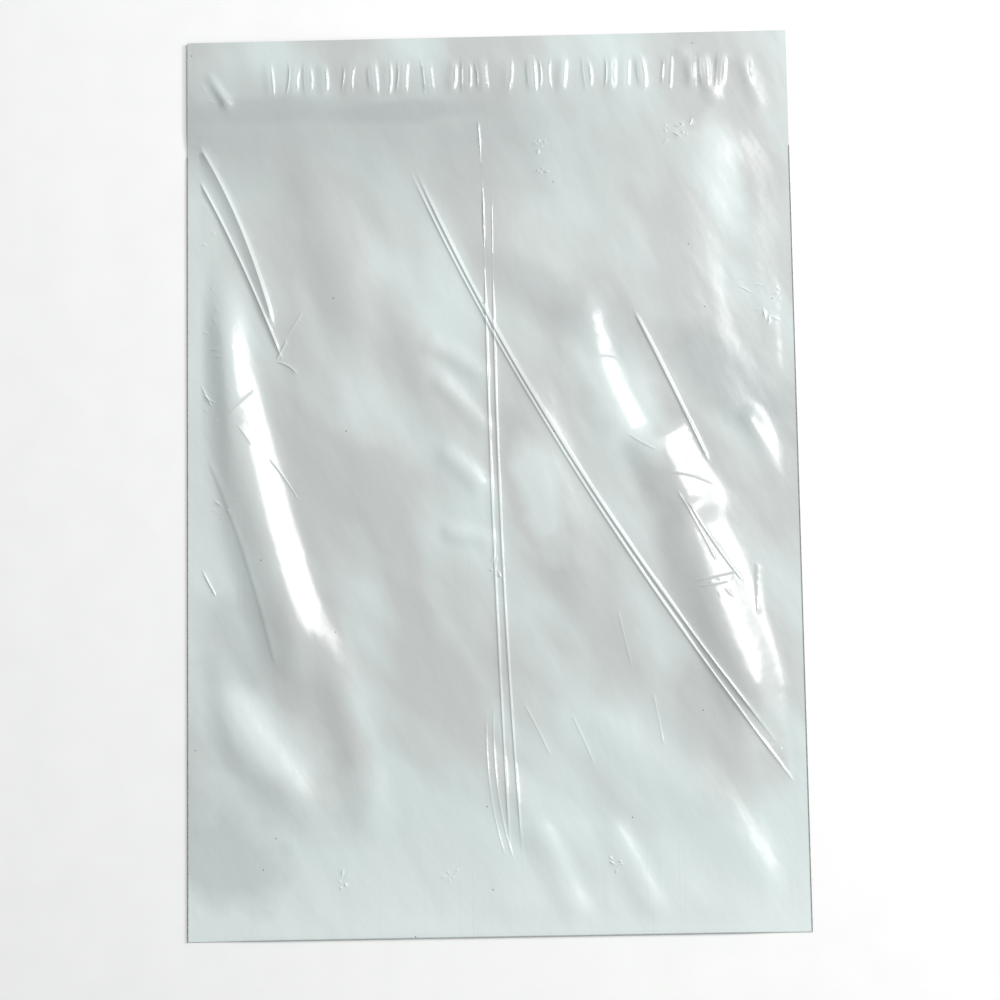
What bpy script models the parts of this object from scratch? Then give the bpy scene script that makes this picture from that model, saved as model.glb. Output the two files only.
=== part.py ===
"""A flat poly mailer bag, lying with its address side up. One sheet of film, white outside and dark inside, is
folded at the bottom and welded along both sides. The back panel runs on past the mouth as a flap, and the flap
carries a strip of glue under a release liner. Metres, +X across, +Y towards the flap, +Z up."""

import math
from collections import namedtuple

import bmesh
import bpy
from mathutils import Vector, geometry, kdtree, noise

# Size of the bag
BAG_WIDTH = 0.254
POCKET_LENGTH = 0.330
FLAP_LENGTH = 0.050
FILM = 0.00008

# Side welds: a flat band with a round bead where the hot knife cut it
WELD_WIDTH = 0.005
BEAD_RADIUS = 0.0002

# How the empty bag lies
FOLD_RADIUS = 0.0004
LOFT = 0.0010
RAMP = 0.014
SIDE_RAMP = 0.030
CREASE_RAMP = 0.006
LEAST_OPEN = 0.4

# Glue and liner on the flap
GLUE_WIDTH = 0.018
GLUE_TO_EDGE = 0.008
GLUE_SIDE_MARGIN = 0.010
GLUE_THICKNESS = 0.00012
LINER_WIDTH = 0.026
LINER_SIDE_MARGIN = 0.001
LINER_THICKNESS = 0.00006
CLEARANCE = 0.0003

# Puckers that the hot glue left in the flap
PUCKER_PITCH = 0.0084
PUCKERS_LEFT_OUT = 2
PUCKER_HEIGHT = 0.0007
PUCKER_HALF_WIDTH = 0.0025
PUCKER_LEAN = 0.0016

# Spacing of the mesh's points
GRID = 0.0082
COARSE_GRID = 0.030
LINE_STEP = 0.0085
FOLD_STEPS = 4
MERGE = 0.000001

# What follows from the sizes
BAG_LENGTH = POCKET_LENGTH + FLAP_LENGTH
TOP_Y = BAG_LENGTH / 2
MOUTH_Y = POCKET_LENGTH - TOP_Y
EDGE_X = BAG_WIDTH / 2 - BEAD_RADIUS
WELD_X = BAG_WIDTH / 2 - WELD_WIDTH
FOLD_Y = FOLD_RADIUS + FILM / 2 - TOP_Y
FOLD_LENGTH = math.pi * FOLD_RADIUS
BLANK_END = FOLD_Y - FOLD_LENGTH - (MOUTH_Y - FOLD_Y)
WELD_GAP = 1.5 * FILM
BEAD_Z = BEAD_RADIUS + FILM / 4
LOW_Z = FILM / 2
GLUE_Z = LINER_THICKNESS + CLEARANCE
FLAP_LOFT = GLUE_Z + GLUE_THICKNESS + CLEARANCE
GLUE_TOP = TOP_Y - GLUE_TO_EDGE
GLUE_BOTTOM = GLUE_TOP - GLUE_WIDTH
LINER_TOP = (GLUE_TOP + GLUE_BOTTOM + LINER_WIDTH) / 2
GLUE_HALF = EDGE_X - GLUE_SIDE_MARGIN

# A fold or crease in the address side. Its line bends from start to end, and these three points are shares of the
# bag's width, from the left, and of its length, from the bottom. Left and right are the widths of its two flanks.
# A crisp one has a sharp crest.
Fold = namedtuple("Fold", "start bend end height left right crisp")

FOLDS = (
    # Long diagonal, a pair of creases
    Fold((0.366, 0.855), (0.580, 0.520), (1.000, 0.140), 0.00040, 0.0012, 0.0012, True),
    Fold((0.375, 0.855), (0.578, 0.530), (0.960, 0.195), 0.00048, 0.0010, 0.0018, True),
    # Short one beside it
    Fold((0.735, 0.685), (0.795, 0.600), (0.855, 0.510), 0.00045, 0.0012, 0.0016, True),
    # Middle crease from the bag's own folding, a pair
    Fold((0.491, 0.865), (0.492, 0.450), (0.520, 0.080), 0.00032, 0.0010, 0.0012, True),
    Fold((0.506, 0.865), (0.500, 0.450), (0.540, 0.075), 0.00032, 0.0010, 0.0012, True),
    # Two creases that leave the left weld
    Fold((0.000, 0.880), (0.072, 0.818), (0.145, 0.665), 0.0007, 0.0014, 0.0011, True),
    Fold((0.005, 0.910), (0.090, 0.829), (0.155, 0.680), 0.0011, 0.0050, 0.0018, True),
    # Long soft ridge down the left, steep on its right side
    Fold((0.026, 0.760), (0.080, 0.500), (0.228, 0.225), 0.0037, 0.0190, 0.0170, False),
    # Chain of soft ridges down the right
    Fold((0.665, 0.720), (0.675, 0.590), (0.785, 0.500), 0.0015, 0.0150, 0.0100, False),
    Fold((0.770, 0.595), (0.770, 0.540), (0.860, 0.425), 0.0026, 0.0180, 0.0160, False),
    Fold((0.800, 0.475), (0.864, 0.369), (0.960, 0.190), 0.0026, 0.0180, 0.0165, False),
    # Short slanting ones at the right end of the puckers, and one at the left end
    Fold((0.818, 0.985), (0.832, 0.965), (0.850, 0.940), 0.0007, 0.0040, 0.0040, False),
    Fold((0.850, 0.975), (0.862, 0.950), (0.882, 0.915), 0.0009, 0.0050, 0.0040, False),
    Fold((0.915, 0.975), (0.940, 0.945), (0.962, 0.905), 0.0009, 0.0050, 0.0040, False),
    Fold((0.028, 0.968), (0.048, 0.948), (0.075, 0.920), 0.0014, 0.0032, 0.0030, False),
    # Shallow valley beside the right weld
    Fold((0.885, 0.862), (0.890, 0.730), (0.930, 0.560), -0.0008, 0.0140, 0.0180, False),
    # Soft ridges between and beside them
    Fold((0.330, 0.700), (0.420, 0.560), (0.500, 0.440), 0.0010, 0.0160, 0.0160, False),
    Fold((0.540, 0.640), (0.610, 0.450), (0.660, 0.300), 0.0007, 0.0140, 0.0160, False),
    Fold((-0.020, 0.335), (0.060, 0.240), (0.220, 0.110), 0.0020, 0.0160, 0.0150, False),
    Fold((0.215, 0.370), (0.255, 0.230), (0.320, 0.080), 0.0010, 0.0120, 0.0120, False),
    Fold((0.420, 0.200), (0.560, 0.130), (0.700, 0.060), 0.0008, 0.0150, 0.0150, False),
    Fold((0.640, 0.260), (0.740, 0.180), (0.840, 0.110), 0.0006, 0.0150, 0.0150, False),
    Fold((0.780, 0.200), (0.860, 0.120), (0.960, 0.030), 0.0009, 0.0160, 0.0140, False),
    Fold((0.550, 0.130), (0.600, 0.070), (0.640, 0.000), 0.0008, 0.0100, 0.0080, False),
    Fold((0.670, 0.130), (0.720, 0.070), (0.760, 0.000), 0.0008, 0.0100, 0.0080, False),
    Fold((0.180, 0.880), (0.260, 0.760), (0.300, 0.600), 0.0010, 0.0170, 0.0170, False),
    # One from the middle of the right edge
    Fold((0.900, 0.590), (0.955, 0.550), (1.000, 0.480), 0.0013, 0.0070, 0.0075, False),
    # Short soft ones that run into the middle crease from its left
    Fold((0.380, 0.655), (0.440, 0.640), (0.500, 0.605), 0.0007, 0.0060, 0.0070, False),
    Fold((0.400, 0.615), (0.450, 0.590), (0.500, 0.541), 0.0007, 0.0060, 0.0060, False),
    Fold((0.410, 0.535), (0.450, 0.515), (0.490, 0.480), 0.0006, 0.0060, 0.0060, False),
    Fold((0.410, 0.440), (0.460, 0.440), (0.505, 0.425), 0.0006, 0.0060, 0.0060, False),
)

# Share of its length over which each kind of fold rises at both ends
CRISP_FADE = 0.09
SOFT_FADE = 0.2
PUCKER_FADE = 0.3

# Waves of the film between the folds: long along the diagonal and short across it
WAVE_TURN = math.radians(-62)
WAVE_LENGTH = 0.150
WAVE_WIDTH = 0.045
WAVE_HEIGHT = 0.0012
WAVE_SEED = 3.7


def smooth(share):
    """0 below 0, 1 above 1, and an even S between."""
    share = min(max(share, 0.0), 1.0)
    return share * share * (3 - 2 * share)


def on_panel(share):
    return Vector(((share[0] - 0.5) * BAG_WIDTH, (share[1] - 0.5) * BAG_LENGTH))


def line_of(fold):
    """Points along the fold's bent line, LINE_STEP apart."""
    start, bend, end = (on_panel(share) for share in (fold.start, fold.bend, fold.end))
    steps = max(4, round((end - start).length / LINE_STEP))
    return [
        start.lerp(bend, i / steps).lerp(bend.lerp(end, i / steps), i / steps)
        for i in range(steps + 1)
    ]


def beside(line, distance):
    """The line moved sideways by a distance, to the right on its way down, and kept between the welds."""
    moved = []
    for i, point in enumerate(line):
        along = line[min(i + 1, len(line) - 1)] - line[max(i - 1, 0)]
        place = point + distance * Vector((-along.y, along.x)).normalized()
        place.x = min(max(place.x, -WELD_X), WELD_X)
        moved.append(place)
    return moved


def pucker_lines():
    """The crest of each pucker across the strip of glue, with its height. Places and heights vary by a rule."""
    count = int(2 * GLUE_HALF / PUCKER_PITCH)
    for i in range(PUCKERS_LEFT_OUT, count):
        x = (i + 0.5 - count / 2) * PUCKER_PITCH + 0.25 * PUCKER_PITCH * math.sin(4.7 * i)
        lean = PUCKER_LEAN * math.sin(2.3 * i + 0.6)
        height = PUCKER_HEIGHT * (0.65 + 0.35 * math.sin(3.1 * i))
        bottom = Vector((x - lean, GLUE_BOTTOM))
        top = Vector((x + lean, GLUE_TOP))
        yield [bottom.lerp(top, k / 4) for k in range(5)], height


LINES = [(fold, line_of(fold)) for fold in FOLDS]
PUCKERS = list(pucker_lines())


def along_and_off(point, line):
    """How far along the line the nearest place to the point is, as a share, and the distance to it, which is
    positive to the right on the line's way down."""
    best = (0.0, math.inf)
    for i in range(len(line) - 1):
        run = line[i + 1] - line[i]
        share = min(max((point - line[i]).dot(run) / run.length_squared, 0.0), 1.0)
        gap = point - line[i].lerp(line[i + 1], share)
        if gap.length < abs(best[1]):
            side = 1 if gap.y * run.x > gap.x * run.y else -1
            best = ((i + share) / (len(line) - 1), side * gap.length)
    return best


def crest(point, line, height, left, right, crisp, fade):
    """How much a ridge along the line lifts the point. The ridge rises over a share of its length at both ends."""
    along, off = along_and_off(point, line)
    inward = max(0.0, 1 - abs(off) / (left if off < 0 else right))
    across = inward * inward if crisp else smooth(inward)
    return height * smooth(along / fade) * smooth((1 - along) / fade) * across


def crisp_relief(point):
    """Height of the sharp creases and puckers at a place on the address side."""
    height = sum(crest(point, line, *fold[3:], CRISP_FADE) for fold, line in LINES if fold.crisp)
    for line, rise in PUCKERS:
        height += crest(point, line, rise, PUCKER_HALF_WIDTH, PUCKER_HALF_WIDTH, False, PUCKER_FADE)
    return height


def soft_relief(point):
    """Height of the soft ridges at a place on the address side."""
    return sum(crest(point, line, *fold[3:], SOFT_FADE) for fold, line in LINES if not fold.crisp)


def waves(point):
    """Height of the film's waves above or below its even level."""
    along = Vector((math.cos(WAVE_TURN), math.sin(WAVE_TURN)))
    across = Vector((-along.y, along.x))
    place = (point.dot(along) / WAVE_LENGTH, point.dot(across) / WAVE_WIDTH, WAVE_SEED)
    return WAVE_HEIGHT * noise.noise(place)


def spread(x, y):
    """Distance between the middles of the two films at a place: least at the welds, and open between them."""
    point = Vector((x, y))
    inward = WELD_X - abs(x)
    from_weld = smooth(inward / SIDE_RAMP)
    past_mouth = smooth((y - MOUTH_Y) / RAMP)
    level = LOFT + (FLAP_LOFT - LOFT) * past_mouth
    freedom = 1 - (1 - from_weld) * (1 - past_mouth)
    ends = smooth((y - FOLD_Y) / RAMP)
    flat = WELD_GAP + freedom * (2 * FOLD_RADIUS + (level - 2 * FOLD_RADIUS) * ends - WELD_GAP)
    held = ends * smooth((TOP_Y - y) / GLUE_TO_EDGE)
    folded = smooth(inward / RAMP) * soft_relief(point) + smooth(inward / CREASE_RAMP) * crisp_relief(point)
    wavy = from_weld * (1 - past_mouth) * waves(point)
    return max(flat + held * (folded + wavy), WELD_GAP + LEAST_OPEN * (flat - WELD_GAP))


def fold_up(x, s):
    """Where a point of the flat blank lies in the folded bag. The blank's s runs down the back panel, round the
    bottom fold, and up the front panel to the mouth."""
    if s >= FOLD_Y:
        return Vector((x, s, LOW_Z + spread(x, s)))
    past = FOLD_Y - s
    if past >= FOLD_LENGTH:
        return Vector((x, FOLD_Y + past - FOLD_LENGTH, LOW_Z))
    turn = past / FOLD_RADIUS
    height = spread(x, FOLD_Y) * (1 + math.cos(turn)) / 2
    return Vector((x, FOLD_Y - FOLD_RADIUS * math.sin(turn), LOW_Z + height))


def steps_between(start, end, spacing):
    count = max(1, math.ceil(abs(end - start) / spacing))
    return [start + (end - start) * i / count for i in range(count + 1)]


def guide_lines():
    """Lines of the blank that become edges of the mesh."""
    across = steps_between(-EDGE_X, EDGE_X, COARSE_GRID / 2)
    rows = [FOLD_Y - FOLD_LENGTH * i / FOLD_STEPS for i in range(FOLD_STEPS + 1)]
    rows += [TOP_Y, BLANK_END]
    guides = [[Vector((x, s)) for x in across] for s in rows]
    upper = steps_between(FOLD_Y, MOUTH_Y, COARSE_GRID / 2) + steps_between(MOUTH_Y, TOP_Y, GRID)[1:]
    lower = steps_between(FOLD_Y - FOLD_LENGTH, BLANK_END, COARSE_GRID)
    for x in (-EDGE_X, -WELD_X, WELD_X, EDGE_X):
        guides.append([Vector((x, s)) for s in upper])
        guides.append([Vector((x, s)) for s in lower])
    for fold, line in LINES:
        if fold.crisp:
            guides += [beside(line, distance) for distance in (-fold.left, 0, fold.right)]
    for line, _ in PUCKERS:
        guides += [beside(line, off * PUCKER_HALF_WIDTH) for off in (-1, 0, 1)]
    return guides


def grid_points(lowest, highest, spacing):
    """A staggered grid over a stretch of the blank."""
    points = []
    rows = steps_between(lowest, highest, spacing * math.sqrt(3) / 2)
    for i, s in enumerate(rows[1:-1]):
        shift = spacing / 2 * (i % 2)
        points += [Vector((x + shift, s)) for x in steps_between(-WELD_X, WELD_X, spacing)]
    return [point for point in points if abs(point.x) < WELD_X - spacing / 4]


def blank_mesh():
    """The flat blank's points and triangles: guide lines first, then a grid that keeps clear of them."""
    points, edges = [], []
    for guide in guide_lines():
        edges += [(len(points) + i, len(points) + i + 1) for i in range(len(guide) - 1)]
        points += guide
    taken = kdtree.KDTree(len(points))
    for i, point in enumerate(points):
        taken.insert(point.to_3d(), i)
    taken.balance()
    lower_top = FOLD_Y - FOLD_LENGTH
    for spacing, grid in (
        (GRID, grid_points(FOLD_Y, TOP_Y, GRID)),
        (COARSE_GRID, grid_points(lower_top, BLANK_END, COARSE_GRID)),
    ):
        points += [point for point in grid if taken.find(point.to_3d())[2] > spacing / 2]
    found = geometry.delaunay_2d_cdt(points, edges, [], 0, MERGE, False)
    return found[0], found[2]


def principled(name, colour, roughness):
    material = bpy.data.materials.new(name)
    material.use_nodes = True
    shader = material.node_tree.nodes["Principled BSDF"]
    shader.inputs["Base Color"].default_value = (*colour, 1.0)
    shader.inputs["Roughness"].default_value = roughness
    shader.inputs["Metallic"].default_value = 0.0
    return material


def new_object(name, bm, collection, materials=()):
    mesh = bpy.data.meshes.new(name)
    bm.to_mesh(mesh)
    bm.free()
    for material in materials:
        mesh.materials.append(material)
    obj = bpy.data.objects.new(name, mesh)
    collection.objects.link(obj)
    return obj


def side_weld(side, collection):
    """The fused film between the two layers at one side: a flat bar whose outer edge is a round bead."""
    bm = bmesh.new()
    top = LOW_Z + WELD_GAP
    first = -math.pi - math.asin((LOW_Z - BEAD_Z) / BEAD_RADIUS)
    last = math.pi - math.asin((top - BEAD_Z) / BEAD_RADIUS)
    turns = steps_between(first, last, math.pi / 4)
    outline = [(WELD_X, top), (WELD_X, LOW_Z)]
    outline += [(EDGE_X + BEAD_RADIUS * math.cos(a), BEAD_Z + BEAD_RADIUS * math.sin(a)) for a in turns]
    start = FOLD_Y - FOLD_RADIUS
    ring = [bm.verts.new((side * x, start, z)) for x, z in outline]
    end_face = bm.faces.new(ring)
    grown = bmesh.ops.extrude_face_region(bm, geom=[end_face])["geom"]
    moved = [item for item in grown if isinstance(item, bmesh.types.BMVert)]
    bmesh.ops.translate(bm, verts=moved, vec=(0, MOUTH_Y - FILM - start, 0))
    bmesh.ops.recalc_face_normals(bm, faces=bm.faces)
    name = "left_weld" if side < 0 else "right_weld"
    weld = new_object(name, bm, collection)
    weld.hide_render = True
    weld.display_type = "WIRE"
    return weld


def mailer_film(collection, cutters):
    """The bag itself: the folded blank, given its thickness and joined with its two side welds."""
    points, triangles = blank_mesh()
    bm = bmesh.new()
    verts = [bm.verts.new(fold_up(point.x, point.y)) for point in points]
    for triangle in triangles:
        bm.faces.new([verts[i] for i in triangle])
    outside = principled("film_white", (0.60, 0.64, 0.63), 0.25)
    inside = principled("film_dark", (0.06, 0.065, 0.07), 0.35)
    film = new_object("mailer_film", bm, collection, (outside, inside))
    skin = film.modifiers.new("film thickness", "SOLIDIFY")
    skin.thickness = FILM
    skin.offset = 0.0
    skin.use_even_offset = True
    skin.material_offset = 1
    skin.material_offset_rim = 1
    for side in (-1, 1):
        joined = film.modifiers.new("side weld", "BOOLEAN")
        joined.operation = "UNION"
        joined.solver = "MANIFOLD"
        joined.object = side_weld(side, cutters)
    film.data.shade_smooth()
    return film


def strip(name, half_length, bottom, top, low, thickness, material, collection):
    """A thin flat strip across the flap."""
    bm = bmesh.new()
    bmesh.ops.create_cube(bm, size=1.0)
    bmesh.ops.scale(bm, vec=(2 * half_length, top - bottom, thickness), verts=bm.verts)
    obj = new_object(name, bm, collection, (material,))
    obj.location = (0, (top + bottom) / 2, low + thickness / 2)
    return obj


def glue_strip(collection):
    glue = principled("glue", (0.72, 0.70, 0.60), 0.45)
    return strip(
        "glue_strip", GLUE_HALF, GLUE_BOTTOM, GLUE_TOP, GLUE_Z, GLUE_THICKNESS, glue, collection
    )


def release_liner(collection):
    liner = principled("liner", (0.75, 0.77, 0.78), 0.30)
    half = EDGE_X - LINER_SIDE_MARGIN
    bottom = LINER_TOP - LINER_WIDTH
    return strip(
        "release_liner", half, bottom, LINER_TOP, 0.0, LINER_THICKNESS, liner, collection
    )


def new_collection(name):
    collection = bpy.data.collections.new(name)
    bpy.context.scene.collection.children.link(collection)
    return collection


def main():
    for obj in list(bpy.data.objects):
        bpy.data.objects.remove(obj, do_unlink=True)
    parts = new_collection("poly_mailer_bag")
    cutters = new_collection("weld_bars")
    mailer_film(parts, cutters)
    glue_strip(parts)
    release_liner(parts)


main()
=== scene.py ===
"""The looks of the flat poly mailer bag: its film with every fold, crease and pucker as fine geometry, its
glue and liner, and a plain studio around it. Metres, in the CAD model's frame."""

import math
from collections import namedtuple

import bmesh
import bpy
import numpy as np
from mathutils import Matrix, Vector, geometry, kdtree, noise


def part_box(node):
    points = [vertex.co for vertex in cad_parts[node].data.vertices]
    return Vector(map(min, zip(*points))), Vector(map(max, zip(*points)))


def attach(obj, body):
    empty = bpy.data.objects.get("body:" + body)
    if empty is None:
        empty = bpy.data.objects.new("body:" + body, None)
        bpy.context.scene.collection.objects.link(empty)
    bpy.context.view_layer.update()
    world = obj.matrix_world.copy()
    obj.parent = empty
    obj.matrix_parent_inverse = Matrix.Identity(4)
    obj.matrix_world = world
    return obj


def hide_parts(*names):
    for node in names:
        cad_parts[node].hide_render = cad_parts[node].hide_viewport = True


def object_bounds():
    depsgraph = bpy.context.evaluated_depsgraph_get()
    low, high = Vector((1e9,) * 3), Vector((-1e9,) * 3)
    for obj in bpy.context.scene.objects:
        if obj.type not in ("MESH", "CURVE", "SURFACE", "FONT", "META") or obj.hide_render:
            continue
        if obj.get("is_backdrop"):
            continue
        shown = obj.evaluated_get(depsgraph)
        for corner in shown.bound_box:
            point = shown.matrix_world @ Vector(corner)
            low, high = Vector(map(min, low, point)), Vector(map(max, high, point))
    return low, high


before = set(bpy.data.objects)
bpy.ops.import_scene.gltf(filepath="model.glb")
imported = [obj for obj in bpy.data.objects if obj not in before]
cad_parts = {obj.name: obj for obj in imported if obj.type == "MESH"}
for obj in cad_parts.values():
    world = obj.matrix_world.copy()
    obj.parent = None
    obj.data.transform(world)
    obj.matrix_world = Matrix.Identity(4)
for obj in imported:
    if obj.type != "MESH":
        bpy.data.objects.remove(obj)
CAD_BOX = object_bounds()

# Sizes that the frame gives
FILM_LOW, FILM_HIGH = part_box("mailer_film")
GLUE_LOW, GLUE_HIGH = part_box("glue_strip")
BAG_WIDTH = FILM_HIGH.x - FILM_LOW.x
BAG_LENGTH = FILM_HIGH.y - FILM_LOW.y
TOP_Y = BAG_LENGTH / 2

# Sizes of the film that its box doesn't give. The middles of the two films lie LOFT apart. They part over
# RAMP from the bottom fold and over SIDE_RAMP from the welds, and past the mouth the flap settles over
# RAMP to its own height. Towards the welds soft folds fade over RAMP and creases over FADE. A dent
# leaves at least the share LEAST_OPEN of the gap.
FLAP_LENGTH = 0.050
FILM = 0.00008
WELD_WIDTH = 0.005
BEAD_RADIUS = 0.0002
FOLD_RADIUS = 0.0004
LOFT = 0.0010
RAMP = 0.014
SIDE_RAMP = 0.030
FADE = 0.003
LEAST_OPEN = 0.4

# Spacing of the fine mesh: on the back panel, in its crinkled zones and on the front panel, then along folds,
# rims and welds
GRID = 0.0022
FINE_GRID = 0.0012
COARSE_GRID = 0.012
LINE_STEP = 0.0016
RIM_STEP = COARSE_GRID / 3
SIDE_STEP = 2 * GRID
FOLD_STEPS = 8
BEAD_STEP = math.pi / 6
MERGE = 0.000001
SHARP_ANGLE = math.radians(35)

# Where lines of the mesh run beside a crest, as shares of its flanks: the left and the right flank of a
# crisp fold, both flanks of a pucker, and both flanks of a thin crease
LEFT_SHARES = (1, 0.6, 0.25)
RIGHT_SHARES = (0, 0.25, 0.6, 1)
PUCKER_SHARES = (-1, -0.6, -0.25, 0, 0.25, 0.6, 1)
THIN_SHARES = (-1, -0.4, 0, 0.4, 1)

# Places that follow from the sizes
MOUTH_Y = TOP_Y - FLAP_LENGTH
EDGE_X = BAG_WIDTH / 2 - BEAD_RADIUS
WELD_X = BAG_WIDTH / 2 - WELD_WIDTH
FOLD_Y = FOLD_RADIUS + FILM / 2 - TOP_Y
FOLD_LENGTH = math.pi * FOLD_RADIUS
BLANK_END = FOLD_Y - FOLD_LENGTH - (MOUTH_Y - FOLD_Y)
WELD_GAP = 1.5 * FILM
BEAD_Z = BEAD_RADIUS + FILM / 4
LOW_Z = FILM / 2
GAP_OVER_GLUE = 0.0003
FLAP_LOFT = GLUE_HIGH.z + GAP_OVER_GLUE

# A fold or crease of the address side. Its line bends from start to end, and these three points are shares of
# the bag's width, from the left, and of its length, from the bottom. The two widths are those of its left and
# right flank. A crisp one has a sharp crest.
Fold = namedtuple("Fold", "start bend end height left right crisp")

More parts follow.
